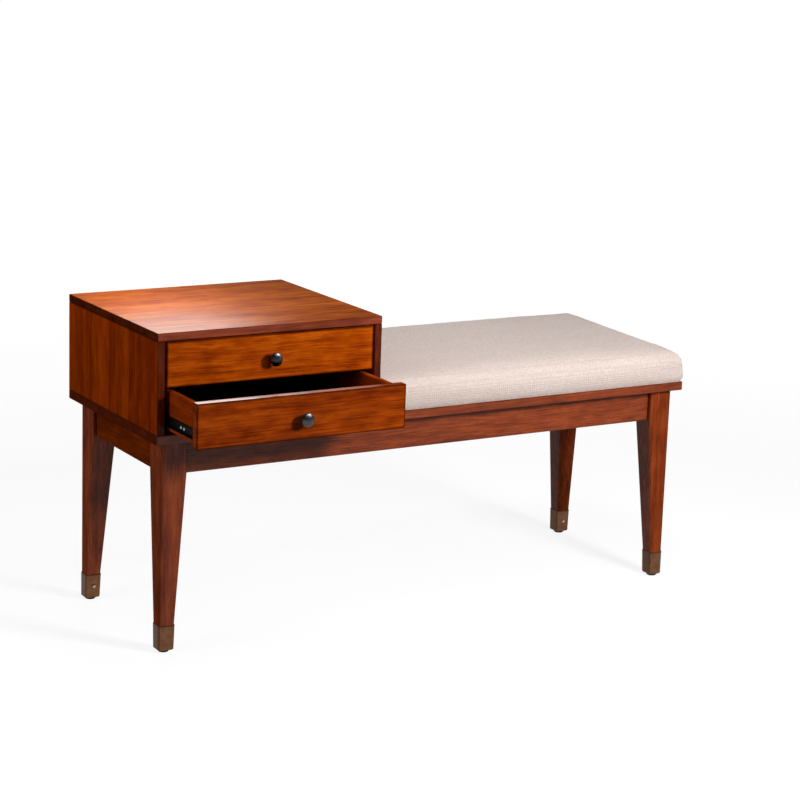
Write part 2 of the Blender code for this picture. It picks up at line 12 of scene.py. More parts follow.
import bpy
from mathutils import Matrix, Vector


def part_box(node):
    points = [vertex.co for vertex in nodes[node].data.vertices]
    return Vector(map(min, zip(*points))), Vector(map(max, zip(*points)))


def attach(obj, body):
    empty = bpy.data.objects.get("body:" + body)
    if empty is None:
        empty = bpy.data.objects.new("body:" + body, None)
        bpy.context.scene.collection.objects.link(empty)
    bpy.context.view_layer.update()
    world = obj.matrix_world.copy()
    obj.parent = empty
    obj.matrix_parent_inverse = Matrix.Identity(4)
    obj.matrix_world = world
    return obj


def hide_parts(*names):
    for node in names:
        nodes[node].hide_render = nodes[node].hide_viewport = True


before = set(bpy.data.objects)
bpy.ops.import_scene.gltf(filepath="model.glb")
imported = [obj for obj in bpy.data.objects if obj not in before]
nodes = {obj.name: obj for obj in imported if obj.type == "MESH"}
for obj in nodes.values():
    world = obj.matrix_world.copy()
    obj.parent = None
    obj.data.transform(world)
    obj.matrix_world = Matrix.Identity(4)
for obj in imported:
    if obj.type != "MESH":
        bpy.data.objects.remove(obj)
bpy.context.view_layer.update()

# %% [markdown]
# ## Shader maths as plain sums
#
# A wood or cloth finish is a sum of patterns. Wiring Math nodes by hand hides that sum, so a
# small class wraps an output socket and lets us write `bands * 0.6 + fibres * 0.4`. Every other
# node comes from its one `node` method: settings first, then sockets.


# %% A socket that understands arithmetic
class Wire:
    """An output socket. Arithmetic on it adds Math nodes to the same node tree."""

    def __init__(self, tree, socket=None):
        self.tree = tree
        self.socket = socket

    def node(self, kind, settings, sockets, output=0):
        made = self.tree.nodes.new(kind)
        for key, value in settings.items():
            if key == "stops":
                set_stops(made.color_ramp, value)
            else:
                setattr(made, key, value)
        for key, value in sockets.items():
            if isinstance(value, Wire):
                self.tree.links.new(value.socket, made.inputs[key])
            else:
                made.inputs[key].default_value = value
        return Wire(self.tree, made.outputs[output])

    def math(self, operation, first, second=0.0):
        return self.node("ShaderNodeMath", {"operation": operation}, {0: first, 1: second})

    def __add__(self, other):
        return self.math("ADD", self, other)

    def __radd__(self, other):
        return self.math("ADD", other, self)

    def __sub__(self, other):
        return self.math("SUBTRACT", self, other)

    def __rsub__(self, other):
        return self.math("SUBTRACT", other, self)

    def __mul__(self, other):
        return self.math("MULTIPLY", self, other)

    def __rmul__(self, other):
        return self.math("MULTIPLY", other, self)

    def feed(self, shader, name):
        self.tree.links.new(self.socket, shader.inputs[name])


def set_stops(ramp, stops):
    """Give a colour ramp its stops: (position, colour) pairs from low to high."""
    while len(ramp.elements) < len(stops):
        ramp.elements.new(1.0)
    for element, (position, colour) in zip(ramp.elements, stops):
        element.position = position
        element.color = (*colour, 1.0)


print("sockets add up")


# %% Small words for the nodes that finishes use most
noise_roughness = 0.55


def new_finish(name, **constants):
    """A material with one Principled shader, its constant values set, and its place on the object."""
    material = bpy.data.materials.new(name)
    material.use_nodes = True
    tree = material.node_tree
    shader = tree.nodes["Principled BSDF"]
    for key, value in constants.items():
        shader.inputs[key.replace("_", " ")].default_value = value
    place = Wire(tree).node("ShaderNodeTexCoord", {}, {}, "Object")
    return material, shader, place


def axis_of(place, axis):
    """One coordinate of a place: "X", "Y" or "Z"."""
    return place.node("ShaderNodeSeparateXYZ", {}, {"Vector": place}, axis)


def noise(place, sizes, detail, shift=0.0):
    """Noise whose spots have the given sizes along X, Y and Z, in metres."""
    scale = [1 / size for size in sizes]
    sockets = {"Vector": place, "Scale": scale, "Location": (shift,) * 3}
    spread = place.node("ShaderNodeMapping", {}, sockets)
    sockets = {"Vector": spread, "Scale": 1.0, "Detail": detail, "Roughness": noise_roughness}
    return place.node("ShaderNodeTexNoise", {}, sockets, "Fac")


def step_between(value, low, high):
    """0 below low, 1 above high, and a smooth step between. Swap the two to turn it round."""
    sockets = {"Value": value, "From Min": low, "From Max": high}
    return value.node("ShaderNodeMapRange", {"interpolation_type": "SMOOTHSTEP"}, sockets)


def shade_of(colour, share=1.0):
    """A colour, darkened to a share of itself, with the fourth number that sockets ask for."""
    return (*[part * share for part in colour], 1.0)


def blend_colours(factor, first, second):
    sockets = {0: factor, 6: first, 7: second}
    return factor.node("ShaderNodeMix", {"data_type": "RGBA"}, sockets, 2)


def raise_surface(height, shader, distance, strength):
    sockets = {"Height": height, "Distance": distance, "Strength": strength}
    height.node("ShaderNodeBump", {}, sockets).feed(shader, "Normal")


print("shader words ready")

# %% [markdown]
# ## Lacquered wood
#
# The bench is stained red-brown and sprayed with satin lacquer. Straight-grained wood is noise
# drawn out along the grain: wide bands of tone, thin fibres, short dark pores and a cloudy
# figure. All four read Object coordinates in metres, so one recipe suits every board and only
# the grain's direction changes. Each board is darker along its edges. The lacquer is the
# shader's coat: it is rubbed up on the faces that are seen most and left dull on the others.

# %% Where on a board a point lies
face_skin = 0.0008


def edge_nearness(place, low, high, reach):
    """1 on a board's edges and 0 farther than reach from them, from the board's two corners."""
    depth = []
    for axis, start, end in zip("XYZ", low, high):
        middle = (start + end) / 2
        half = (end - start) / 2
        depth.append(half - place.math("ABSOLUTE", axis_of(place, axis) - middle))
    nearer = place.math("MINIMUM", depth[0], depth[1])
    farther = place.math("MAXIMUM", depth[0], depth[1])
    second = place.math("MAXIMUM", nearer, place.math("MINIMUM", farther, depth[2]))
    return step_between(second, reach, 0.0)


def on_face(place, axis, level):
    """1 on the face of a board that lies at this level of an axis, and 0 behind it."""
    distance = place.math("ABSOLUTE", axis_of(place, axis) - level)
    return step_between(distance, face_skin, face_skin / 2)


print("places on a board ready")

# %% The grain
drift_size = (0.5, 0.12)
drift_reach = 0.03
pore_size = (0.016, 0.0008)
pore_range = (0.60, 0.72)
cloud_size = (0.05, 0.02)
band_weight = 0.5
streak_weight = 0.7
strip_width = 0.043


def grain_sizes(grain, along, across):
    return [along if axis == grain else across for axis in "xyz"]


def wood_grain(place, grain, band, streak, cloud):
    """A grain's bent place, the swing of its tone, its streaks and its pores.

    The shifts that end the noise calls keep the patterns from lying on one another.
    """
    drift = noise(place, grain_sizes(grain, *drift_size), 1.0)
    bend = {0: place, 1: (drift - 0.5) * drift_reach}
    bent = place.node("ShaderNodeVectorMath", {"operation": "ADD"}, bend)
    bands = noise(bent, grain_sizes(grain, *band), 3.0) - 0.5
    streaks = noise(bent, grain_sizes(grain, *streak), 3.0, 3.1) - 0.5
    pores = noise(bent, grain_sizes(grain, *pore_size), 1.0, 7.7)
    clouds = noise(place, grain_sizes(grain, *cloud_size), 2.0, 5.3) - 0.5
    swing = bands * band_weight + clouds * cloud + streaks * streak_weight
    return bent, swing, streaks, step_between(pores, *pore_range)


def veneer_strips(bent):
    """A tone from 0 to 1 that changes from one strip of veneer to the next along Y."""
    across = axis_of(bent, "Y") * (1 / strip_width)
    cells = {"voronoi_dimensions": "1D", "feature": "F1"}
    strip = bent.node("ShaderNodeTexVoronoi", cells, {"W": across, "Scale": 1.0}, "Color")
    return strip.node("ShaderNodeSeparateColor", {}, {"Color": strip}, "Red")


print("grain ready")

# %% The wood recipe
tone_stops = (0.33, 0.50, 0.67)
pore_stain = 0.4
pore_shade = 0.35
edge_shade = 0.2
lip_range = (0.3, 0.7)
lip_dark = (0.115, 0.016, 0.004)
lip_light = (0.260, 0.044, 0.013)
lacquer_roughness = 0.09
grain_height = 0.00012


def coat_weight(place, lacquer, polished, rubbed):
    """The lacquer's weight where it changes over a board, or nothing where it is even."""
    if rubbed:
        return place.node("ShaderNodeAttribute", {"attribute_name": rubbed}, {}, "Fac")
    coat = None
    for axis, level, weight in polished:
        shine = on_face(place, axis, level) * (weight - lacquer)
        coat = shine + lacquer if coat is None else coat + shine
    return coat


def wood_finish(name, grain, tones, figure=0.8, band=(0.5, 0.026), streak=(0.08, 0.0020), cloud=0.4,
                roughness=0.4, board=None, edge=0.5, reach=0.003, strips=0.0, lips_and_shade=(), lacquer=0.0,
                polished=(), rubbed=None):
    """Lacquered wood: tones are its dark, middle and light colours, grain the axis it runs along.

    Lipped faces have a strip of another tone glued on: (axis, level, share of the lipping's tone).
    A low share on a face that lies in shade darkens it as painted shade.
    Polished faces have more lacquer: (axis, level, weight). Rubbed names an attribute that holds the
    lacquer's weight on each face instead.
    """
    material, shader, place = new_finish(name, Specular_IOR_Level=0.0, Coat_Weight=lacquer,
                                         Coat_Roughness=lacquer_roughness)
    dark = tones[0]
    bent, swing, streaks, pore = wood_grain(place, grain, band, streak, cloud)
    tone = 0.5 + swing * figure
    if strips:
        tone = tone + (veneer_strips(bent) - 0.5) * strips
    stops = list(zip(tone_stops, tones))
    colour = tone.node("ShaderNodeValToRGB", {"stops": stops}, {"Fac": tone})
    colour = blend_colours(pore * pore_stain, colour, shade_of(dark, pore_shade))
    # A low share darkens a face as painted shade where that face lies in shade.
    for axis, level, share in lips_and_shade:
        lightness = step_between(tone, *lip_range)
        lip = blend_colours(lightness, shade_of(lip_dark, share), shade_of(lip_light, share))
        colour = blend_colours(on_face(place, axis, level), colour, lip)
    if board:
        arris = edge_nearness(place, *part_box(board), reach)
        colour = blend_colours(arris * edge, colour, shade_of(dark, edge_shade))
    colour.feed(shader, "Base Color")
    (roughness + streaks * 0.12 + pore * 0.1).feed(shader, "Roughness")
    raise_surface(streaks * 0.5 - pore, shader, grain_height, 0.6)
    coat = coat_weight(place, lacquer, polished, rubbed)
    if coat is not None:
        coat.feed(shader, "Coat Weight")
    return material


def dress(node, material):
    nodes[node].material_slots[0].material = material


print("wood recipe ready")

# %% [markdown]
# ## The case, drawers and base
#
# The top, sides and drawer fronts are veneered, and the drawer fronts are a brighter orange than the
# rest. The platform, aprons and legs are solid wood, stained darker. Grain runs along each board,
# and upright on the case sides, where the veneer shows as strips of slightly different tone. The
# left-hand edges of the top and the platform, and the end aprons, are darkened with painted shade.
# The boards' solids already have the right shape, so they stay and only their material changes.

# %% Stains, each a dark, a middle and a light tone
top_tones = ((0.200, 0.032, 0.003), (0.315, 0.064, 0.005), (0.430, 0.102, 0.010))
side_tones = ((0.150, 0.015, 0.001), (0.250, 0.031, 0.001), (0.360, 0.051, 0.002))
upper_tones = ((0.180, 0.020, 0.001), (0.350, 0.050, 0.001), (0.540, 0.100, 0.003))
lower_tones = ((0.125, 0.014, 0.001), (0.250, 0.034, 0.002), (0.390, 0.062, 0.003))
solid_tones = ((0.110, 0.017, 0.004), (0.220, 0.037, 0.008), (0.330, 0.062, 0.014))
# Painted shade: the end aprons' tones are darker than the solid tones because the left-hand end lies
# in shade, and both ends share them.
end_shaded_tones = ((0.080, 0.011, 0.001), (0.145, 0.021, 0.001), (0.210, 0.033, 0.002))
box_tones = ((0.150, 0.018, 0.001), (0.255, 0.032, 0.002), (0.350, 0.049, 0.003))
inside_tones = ((0.006, 0.002, 0.001), (0.012, 0.004, 0.002), (0.020, 0.006, 0.003))
block_tones = ((0.210, 0.110, 0.045), (0.330, 0.190, 0.090), (0.430, 0.270, 0.140))
print("drawer fronts, middle tones:", upper_tones[1], lower_tones[1])

# %% The case and the drawer fronts
top_low, top_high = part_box("case_top")
# The left-hand lipping is darkened with painted shade, to a share of 0.35 against 0.9 on the right.
top_lips_and_shade = (("Y", top_low.y, 1.25), ("X", top_low.x, 0.35), ("X", top_high.x, 0.9))
top_shine = (("Z", top_high.z, 0.45), ("Y", top_low.y, 0.3), ("X", top_high.x, 0.2))
top_veneer = wood_finish("top_veneer", "x", top_tones, figure=1.0, band=(0.6, 0.045),
                         streak=(0.20, 0.008), board="case_top", lips_and_shade=top_lips_and_shade, polished=top_shine)
dress("case_top", top_veneer)
for label in ("left", "right"):
    node = f"case_side_{label}"
    lips = (("Y", top_low.y, 0.65),)
    shine = (("Y", top_low.y, 0.08),)
    dress(node, wood_finish(f"side_veneer_{label}", "z", side_tones, board=node, strips=0.16,
                            lips_and_shade=lips, polished=shine))
for drawer, tones in (("upper", upper_tones), ("lower", lower_tones)):
    node = f"{drawer}_drawer_front"
    shine = (("Z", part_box(node)[1].z, 0.45),)
    dress(node, wood_finish(f"{drawer}_front_veneer", "x", tones, band=(0.3, 0.014),
                            streak=(0.10, 0.0020), cloud=0.6, board=node, edge=0.9, reach=0.0048,
                            lacquer=0.02, polished=shine))
print("veneered boards dressed")

# %% The base
base_low, base_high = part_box("platform")
# This darkens the platform's left-hand end with painted shade.
base_left_shade = (("X", base_low.x, 0.45),)
base_shine = (("Y", base_low.y, 0.35), ("X", base_high.x, 0.3), ("Z", base_high.z, 0.2))
dress("platform", wood_finish("platform_wood", "x", solid_tones, board="platform", edge=0.3,
                              lips_and_shade=base_left_shade, polished=base_shine))
long_apron = wood_finish("long_apron_wood", "x", solid_tones, figure=0.9, lacquer=0.28)
# Painted shade: the end aprons take darker tones than the long ones.
shaded_end_apron = wood_finish("end_apron_shaded_wood", "y", end_shaded_tones, figure=0.9)
for label in ("front", "back"):
    dress(f"apron_{label}", long_apron)
for label in ("left", "right"):
    dress(f"apron_{label}", shaded_end_apron)
print("base dressed")

# %% Drawer boxes, and bare wood under the bench and inside the seat
drawer_side = wood_finish("drawer_side_wood", "y", box_tones, roughness=0.5)
drawer_back = wood_finish("drawer_back_wood", "x", box_tones, roughness=0.5)
drawer_floor = wood_finish("drawer_floor_wood", "x", inside_tones, roughness=0.6)
for drawer in ("upper", "lower"):
    for label in ("left", "right"):
        dress(f"{drawer}_drawer_side_{label}", drawer_side)
    dress(f"{drawer}_drawer_back", drawer_back)
    dress(f"{drawer}_drawer_bottom", drawer_floor)
dress("case_back", drawer_back)
bare_wood = wood_finish("bare_wood", "x", block_tones, roughness=0.6)
feet = [f"{side}_{end}" for side in ("front", "back") for end in ("left", "right")]
for foot in feet:
    dress(f"corner_block_{foot}", bare_wood)
dress("seat_board", bare_wood)
print("drawer boxes and bare wood dressed")

# %% [markdown]
# ## Metals and nylon
#
# The ferrules are brass aged to a dull bronze, the knobs dark pewter, the slides black coated
# steel with bright balls. A worn metal is never one even shade, so a cloudy noise shifts its
# colour and roughness together.

# %% The metal recipe
brush_size = (0.012, 0.0005)
brush_height = 0.00004
wear_range = (0.40, 0.66)
metal_specular = 0.5
coating_specular = 0.04
darkening_share = 0.2
rim_line = (0.0026, 0.0010)
rim_darkness = 0.7


def metal_finish(name, colour, worn, roughness, metallic=1.0, spot=0.006, grain="z", patina=None,
                 rims=()):
    """Metal that drifts between a colour and a worn colour, with faint brush marks along its grain.

    The attribute it is given holds painted shade that darkens faces, and rims are the heights where
    dark lines run round.
    """
    specular = metal_specular if metallic else coating_specular
    material, shader, place = new_finish(name, Metallic=metallic, Specular_IOR_Level=specular)
    patches = noise(place, (spot,) * 3, 3.0)
    brushed = noise(place, grain_sizes(grain, *brush_size), 1.0, 2.2)
    wear = step_between(patches, *wear_range)
    mixed = blend_colours(wear, shade_of(colour), shade_of(worn))
    # Painted shade: the attribute darkens the faces it marks, and the rims add dark lines round the
    # top and bottom.
    if patina:
        shade_and_rims = place.node("ShaderNodeAttribute", {"attribute_name": patina}, {}, "Fac")
        height = axis_of(place, "Z")
        for level in rims:
            line = step_between(place.math("ABSOLUTE", height - level), *rim_line)
            shade_and_rims = place.math("MAXIMUM", shade_and_rims, line * rim_darkness)
        mixed = blend_colours(shade_and_rims, mixed, shade_of(colour, darkening_share))
    mixed.feed(shader, "Base Color")
    (roughness + wear * 0.1 + (brushed - 0.5) * 0.12).feed(shader, "Roughness")
    raise_surface(brushed, shader, brush_height, 0.4)
    return material


print("metal recipe ready")

# %% The metals
ferrule_low, ferrule_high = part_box("ferrule_front_left")
bronze = metal_finish("aged_bronze", (0.150, 0.068, 0.033), (0.215, 0.100, 0.050), 0.42, spot=0.012,
                      patina="patina", rims=(ferrule_low.z, ferrule_high.z))
pewter = metal_finish("dark_pewter", (0.062, 0.058, 0.060), (0.080, 0.075, 0.077), 0.36, spot=0.008)
black_steel = metal_finish("black_steel", (0.002, 0.002, 0.002), (0.004, 0.004, 0.004), 0.55,
                           metallic=0.0, grain="y")
bright_steel = metal_finish("bright_steel", (0.520, 0.520, 0.510), (0.400, 0.400, 0.400), 0.28,
                            grain="y")
nylon = metal_finish("black_nylon", (0.010, 0.010, 0.010), (0.018, 0.018, 0.018), 0.5, metallic=0.0)

for drawer in ("upper", "lower"):
    for label in ("left", "right"):
        dress(f"case_rail_{drawer}_{label}", black_steel)
        dress(f"{drawer}_drawer_rail_{label}", black_steel)
        dress(f"ball_cage_{drawer}_{label}", bright_steel)
print("slides dressed")

# %% [markdown]
# ## Legs, ferrules and glides
#
# Their solids have the right shape, but a solid's mesh is loose triangles and looks faceted where
# a corner is round. We copy the mesh, merge its points and let weighted normals shade the round
# corners softly while the flat faces stay flat. A leg's faces aren't all rubbed up alike, so each
# face keeps its own weight of lacquer in an attribute that the wood recipe reads. The ferrules'
# left-hand faces carry painted shade in an attribute in the same way, and dark lines run round both
# rims.

# %% Soft copies of round-cornered solids
merge_distance = 0.00001
flat_angle = math.radians(0.5)
soft_angle = math.radians(40)


def select_only(piece):
    bpy.ops.object.select_all(action="DESELECT")
    piece.select_set(True)
    bpy.context.view_layer.objects.active = piece


def soften_normals(piece):
    select_only(piece)
    bpy.ops.object.shade_smooth_by_angle(angle=soft_angle)
    weighted = piece.modifiers.new("flat_faces_first", "WEIGHTED_NORMAL")
    weighted.keep_sharp = True
    bpy.ops.object.modifier_apply(modifier=weighted.name)


def soft_copy(node, material):
    """A smooth-shaded copy of a solid, which takes the solid's place."""
    piece = bpy.data.objects.new(f"soft_{node}", nodes[node].data.copy())
    bpy.context.scene.collection.objects.link(piece)
    select_only(piece)
    bpy.ops.object.mode_set(mode="EDIT")
    bpy.ops.mesh.select_all(action="SELECT")
    bpy.ops.mesh.remove_doubles(threshold=merge_distance)
    bpy.ops.mesh.dissolve_limited(angle_limit=flat_angle)
    bpy.ops.object.mode_set(mode="OBJECT")
    soften_normals(piece)
    piece.data.materials.clear()
    piece.data.materials.append(material)
    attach(piece, "bench")
    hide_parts(node)
    return piece


print("soft copies ready")

# %% Dress the feet
leftward = (-1, 0, 0)
forward = (0, -1, 0)
dull_faces = {"left": leftward, "right": forward}
dull_coat = 0.03
bright_coat = 0.26
left_painted_shade = 0.6
facing_limit = 0.6


def mark_faces(piece, name, facing, marked, others):
    """Keep a number on each face in an attribute: one value on the faces that look a given way."""
    numbers = piece.data.attributes.new(name, "FLOAT", "FACE")
    for face, number in zip(piece.data.polygons, numbers.data):
        number.value = marked if face.normal.dot(Vector(facing)) > facing_limit else others


leg_wood = wood_finish("leg_wood", "z", solid_tones, figure=0.9, band=(0.5, 0.014), rubbed="rubbed")
for foot in feet:
    leg = soft_copy(f"leg_{foot}", leg_wood)
    mark_faces(leg, "rubbed", dull_faces[foot.split("_")[1]], dull_coat, bright_coat)
    ferrule = soft_copy(f"ferrule_{foot}", bronze)
    # Painted shade on the ferrules' left-hand faces.
    mark_faces(ferrule, "patina", leftward, left_painted_shade, 0.0)
    soft_copy(f"glide_{foot}", nylon)
print("feet:", feet)

# %% [markdown]
# ## Turned knobs
#
# A knob is turned on a lathe, so it is modelled the same way: a half outline is drawn by
# extruding one point along it, then spun about the knob's axis. The solid gives the axis, the
# reach and the head's radius.

# %% Draw half a knob
knob_foot = 0.0075
knob_foot_height = 0.0016
knob_foot_taper = 0.0006
knob_neck = 0.0052
knob_neck_start = 0.0024
knob_neck_flare = 0.8
knob_collar_share = 0.7
knob_head_depth = 0.0115
knob_rim_round = 0.0022
knob_neck_steps = 8
knob_rim_steps = 4
knob_dome_steps = 13


def knob_outline(reach, radius):
    """Half outline from the foot to the tip of the dome: (radius, distance from the drawer)."""
    head_start = reach - knob_head_depth
    outline = [(0.0, 0.0), (knob_foot, 0.0), (knob_foot, knob_foot_height)]
    outline.append((knob_foot - knob_foot_taper, knob_neck_start))
    for step in range(1, knob_neck_steps):
        share = step / knob_neck_steps
        swell = (2 * share - 1) ** 2
        wide = knob_foot if share < 0.5 else radius * knob_collar_share
        across = knob_neck + (wide - knob_neck) * swell * knob_neck_flare
        outline.append((across, knob_neck_start + share * (head_start - knob_neck_start)))
    outline.append((radius - knob_rim_round, head_start))
    for step in range(1, knob_rim_steps):
        turn = step / knob_rim_steps * math.pi / 2
        across = radius - knob_rim_round * (1 - math.sin(turn))
        outline.append((across, head_start + knob_rim_round * (1 - math.cos(turn))))
    dome_start = head_start + knob_rim_round
    for step in range(knob_dome_steps):
        turn = step / knob_dome_steps * math.pi / 2
        outline.append((radius * math.cos(turn), dome_start + (reach - dome_start) * math.sin(turn)))
    outline.append((0.0, reach))
    return outline


print("knob head:", knob_head_depth, "deep, neck:", knob_neck, "in radius")

# %% Spin the knobs
knob_spin_steps = 64


def turned_knob(drawer):
    low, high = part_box(f"{drawer}_drawer_knob")
    centre = Vector(((low.x + high.x) / 2, high.y, (low.z + high.z) / 2))
    outline = knob_outline(high.y - low.y, (high.x - low.x) / 2)
    points = [centre + Vector((radius, -height, 0)) for radius, height in outline]
    bpy.ops.object.select_all(action="DESELECT")
    bpy.ops.mesh.primitive_plane_add(size=0.001, location=points[0])
    piece = bpy.context.object
    piece.name = f"{drawer}_turned_knob"
    bpy.ops.object.transform_apply(location=True, rotation=True, scale=True)
    bpy.ops.object.mode_set(mode="EDIT")
    bpy.ops.mesh.select_all(action="SELECT")
    bpy.ops.mesh.merge(type="CENTER")
    for before, after in zip(points, points[1:]):
        bpy.ops.mesh.extrude_region_move(TRANSFORM_OT_translate={"value": after - before})
    bpy.ops.mesh.select_all(action="SELECT")
    bpy.ops.mesh.spin(steps=knob_spin_steps, angle=2 * math.pi, center=centre, axis=(0, 1, 0))
    bpy.ops.mesh.select_all(action="SELECT")
    bpy.ops.mesh.remove_doubles(threshold=merge_distance)
    bpy.ops.mesh.normals_make_consistent(inside=False)
    bpy.ops.object.mode_set(mode="OBJECT")
    bpy.ops.object.shade_smooth_by_angle(angle=soft_angle)
    piece.data.materials.append(pewter)
    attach(piece, f"{drawer}_drawer")
    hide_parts(f"{drawer}_drawer_knob")
    return piece


for drawer in ("upper", "lower"):
    knob = turned_knob(drawer)
    print(knob.name, len(knob.data.polygons), "faces")

# %% [markdown]
# ## Screws
#
# Small pan-head screws hold the rails to the drawer sides, and one holds each ferrule to its leg.
# One screw head is modelled with a cross recess and copied to each place, turned to the face it
# sits on.

# %% Model one screw head
screw_radius = 0.0032
screw_depth = 0.0016
screw_round = screw_depth * 0.7
screw_angle = math.radians(35)
cross_length = screw_radius * 1.1
cross_width = screw_radius * 0.26
cross_height = screw_depth * 0.9


def screw_head(name):
    """A domed disc facing +Z, its seat at the origin, with a cross cut into it."""
    bpy.ops.object.select_all(action="DESELECT")
    bpy.ops.mesh.primitive_cylinder_add(vertices=32, radius=screw_radius, depth=screw_depth)
    piece = bpy.context.object
    piece.name = name
    bpy.ops.object.mode_set(mode="EDIT")
    bpy.ops.mesh.select_all(action="SELECT")
    bpy.ops.transform.translate(value=(0, 0, screw_depth / 2))
    bpy.ops.mesh.select_all(action="DESELECT")
    bpy.ops.object.mode_set(mode="OBJECT")
    for edge in piece.data.edges:
        heights = [piece.data.vertices[i].co.z for i in edge.vertices]
        edge.select = min(heights) > screw_depth / 2
    bpy.ops.object.mode_set(mode="EDIT")
    bpy.ops.mesh.select_mode(type="EDGE")
    bpy.ops.mesh.bevel(offset=screw_round, segments=4, affect="EDGES")
    bpy.ops.object.mode_set(mode="OBJECT")
    for size in ((cross_length, cross_width), (cross_width, cross_length)):
        bpy.ops.mesh.primitive_cube_add(size=1, location=(0, 0, screw_depth))
        slot = bpy.context.object
        slot.scale = (*size, cross_height)
        bpy.ops.object.transform_apply(location=True, rotation=True, scale=True)
        cut = piece.modifiers.new("cross", "BOOLEAN")
        cut.operation = "DIFFERENCE"
        cut.object = slot
        select_only(piece)
        bpy.ops.object.modifier_apply(modifier=cut.name)
        bpy.data.objects.remove(slot)
    bpy.ops.object.shade_smooth_by_angle(angle=screw_angle)
    piece.data.materials.append(bright_steel)
    return piece


pattern = screw_head("screw_pattern")
print("screw head:", len(pattern.data.polygons), "faces")

# %% Set the screws
rail_sheet = 0.0011
front_pair = (0.041, 0.054)
rear_room = 0.030


def set_screw(pattern, name, place, facing, body):
    """A copy of the screw on a face: its seat at place, looking along facing."""
    piece = bpy.data.objects.new(name, pattern.data.copy())
    bpy.context.scene.collection.objects.link(piece)
    turn = Vector((0, 0, 1)).rotation_difference(Vector(facing)).to_matrix().to_4x4()
    turn.translation = place
    piece.data.transform(turn)
    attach(piece, body)


for drawer in ("upper", "lower"):
    for label, facing in (("left", -1), ("right", 1)):
        low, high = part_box(f"{drawer}_drawer_rail_{label}")
        web = high.x - rail_sheet if facing < 0 else low.x + rail_sheet
        middle = (low.z + high.z) / 2
        spots = (low.y + front_pair[0], low.y + front_pair[1], high.y - rear_room)
        for number, along in enumerate(spots):
            name = f"{drawer}_rail_screw_{label}_{number}"
            place = Vector((web, along, middle))
            set_screw(pattern, name, place, (facing, 0, 0), f"{drawer}_drawer")
for foot in feet:
    low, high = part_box(f"ferrule_{foot}")
    inward = -1 if "back" in foot else 1
    face = low.y if "back" in foot else high.y
    place = Vector(((low.x + high.x) / 2, face, (low.z + high.z) / 2))
    set_screw(pattern, f"ferrule_screw_{foot}", place, (0, inward, 0), "bench")
bpy.data.objects.remove(pattern)
print("screws set")

# %% [markdown]
# ## The padded seat
#
# Fabric is pulled over a foam pad on a board and stapled underneath. It bulges low on its sides,
# leans in above that, and is drawn down along the front edge and at the back corners. We bevel and
# remesh a block, move its points to that form, cut it off flat where it meets the platform, and let
# cloth swell under a gentle pressure with its lower rim pinned, as the staples hold it. A cap keeps
# the swelling true to the size, and one flat face closes the bottom.

# %% Model the block
seat_low, seat_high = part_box("seat_cover")
seat_bulge = 0.0028
seat_front_rise = 0.0625
seat_skirt = 0.020
seat_corner_round = 0.009
seat_edge_round = 0.016
voxel = 0.005

bpy.ops.object.select_all(action="DESELECT")
bpy.ops.mesh.primitive_cube_add(size=1)
seat = bpy.context.object
seat.name = "padded_seat"
block_low = seat_low - Vector((0, seat_bulge, seat_skirt))
block_high = seat_high + Vector((seat_bulge, seat_bulge, 0))
block_high.z = seat_low.z + seat_front_rise
size = block_high - block_low
centre = (block_low + block_high) / 2
seat.scale = size
seat.location = centre
bpy.ops.object.transform_apply(location=True, rotation=True, scale=True)


def bevel_edges(piece, offset, segments, wanted):
    """Bevel the edges whose two ends, as heights from low to high, are wanted."""
    bpy.ops.object.mode_set(mode="EDIT")
    bpy.ops.mesh.select_mode(type="EDGE")
    bpy.ops.mesh.select_all(action="DESELECT")
    bpy.ops.object.mode_set(mode="OBJECT")
    for edge in piece.data.edges:
        edge.select = wanted(*sorted(piece.data.vertices[i].co.z for i in edge.vertices))
    bpy.ops.object.mode_set(mode="EDIT")
    bpy.ops.mesh.bevel(offset=offset, segments=segments, affect="EDGES")
    bpy.ops.object.mode_set(mode="OBJECT")


bevel_edges(seat, seat_corner_round, 4, lambda low, high: high - low > seat_front_rise)
bevel_edges(seat, seat_edge_round, 6, lambda low, high: low > seat_low.z)
seat.data.remesh_voxel_size = voxel
bpy.ops.object.voxel_remesh()
print("seat block:", len(seat.data.vertices), "points")

# %% Move its points to the padded form
seat_bulge_height = 0.013
seat_tuck = 0.0015
seat_lean = 0.0050
seat_back_rise = 0.0735
seat_front_drop = 0.006
seat_front_reach = 0.065
seat_edge_sag = 0.002
seat_back_corner = 0.012

for point in seat.data.vertices:
    height = max(point.co.z - seat_low.z, 0)
    across = 2 * (point.co.x - centre.x) / size.x
    along = 2 * (point.co.y - centre.y) / size.y
    lift = (seat_back_rise - seat_front_rise) * (along + 1) / 2
    sag = seat_edge_sag * across ** 8 * (1 - along ** 2)
    nearness = max(1 - (point.co.y - block_low.y) / seat_front_reach, 0)
    share = height / seat_front_rise
    point.co.z += share * (lift - sag - seat_front_drop * nearness ** 2)
    if height < seat_bulge_height:
        draw_in = (seat_bulge + seat_tuck) * (1 - height / seat_bulge_height) ** 2
    else:
        draw_in = seat_lean * (height - seat_bulge_height) / (seat_front_rise - seat_bulge_height)
    corner = seat_back_corner * share * (across * max(along, 0)) ** 6
    point.co.x -= (draw_in + corner) * across
    point.co.y -= (draw_in + corner) * along
bpy.ops.object.mode_set(mode="EDIT")
bpy.ops.mesh.select_all(action="SELECT")
bpy.ops.mesh.bisect(plane_co=seat_low, plane_no=(0, 0, 1), clear_inner=True)
bpy.ops.object.mode_set(mode="OBJECT")
print("seat, cut off at the platform:", len(seat.data.vertices), "points")

# %% Swell the fabric
swell_cap = 0.008
swell_frames = 15
pinned_rise = 0.005


